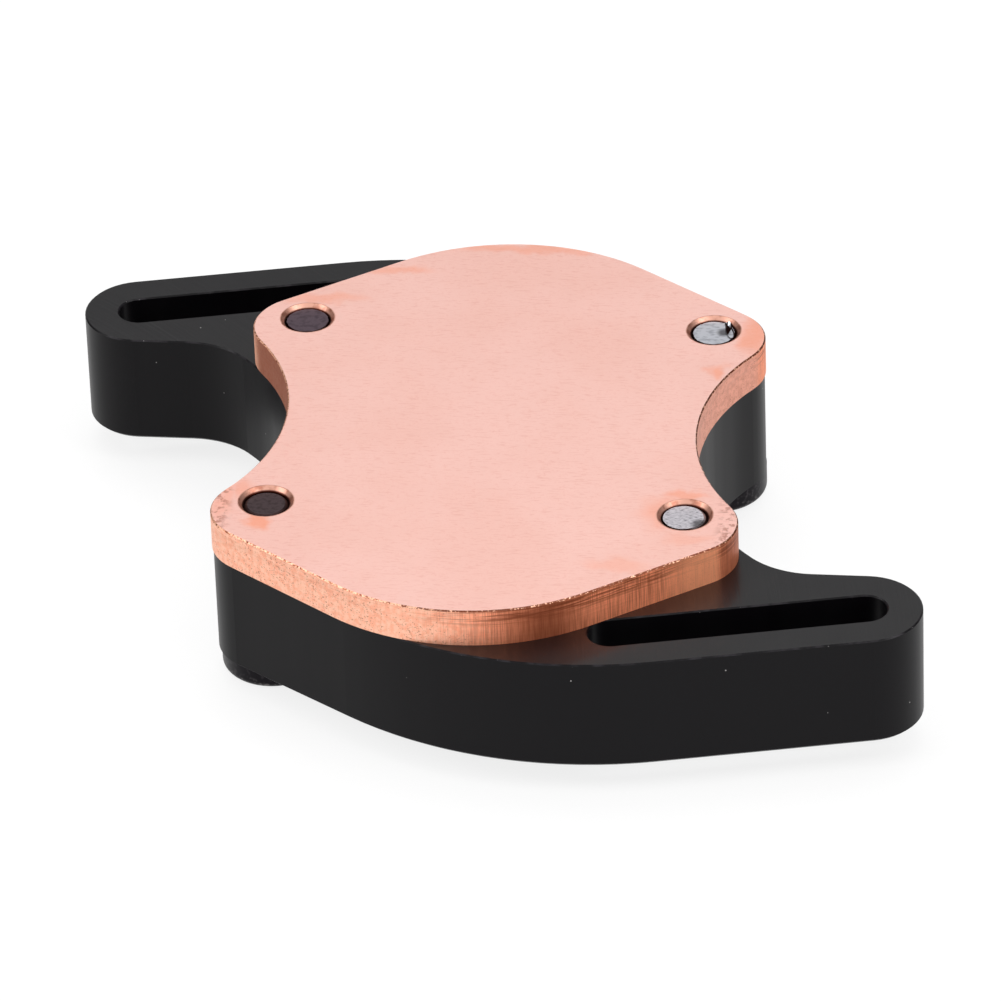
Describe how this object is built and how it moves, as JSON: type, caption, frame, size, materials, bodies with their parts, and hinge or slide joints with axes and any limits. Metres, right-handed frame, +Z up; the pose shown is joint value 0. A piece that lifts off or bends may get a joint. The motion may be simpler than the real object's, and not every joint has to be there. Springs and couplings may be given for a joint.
{
  "type": "liquid cooling cold plate",
  "caption": "Copper contact plate bolted to a black plastic coolant body with slotted mounting ears and threaded ports, lying contact face up.",
  "frame": {"origin": "on the floor, midway between the two round ends and the two mounting ears of the plate's outline", "axes": "+X along the pair of mounting ears, +Y along the plate's length, +Z up, out of the copper contact face"},
  "size_m": [0.0668, 0.0538, 0.0143],
  "materials": {
    "copper": "bare copper, satin on the face, milled and lightly tarnished on the edges",
    "acetal": "machined black acetal, semi-matt",
    "seal": "black nitrile rubber",
    "black_screw": "black oxide on steel",
    "worn_screw": "steel, black oxide with bare cut tips"
  },
  "bodies": {
    "root": {"copper_base": "copper", "body": "acetal", "seal_ring": "seal", "screw_near_left": "black_screw", "screw_far_left": "black_screw", "screw_near_right": "worn_screw", "screw_far_right": "worn_screw"}
  },
  "joints": []
}
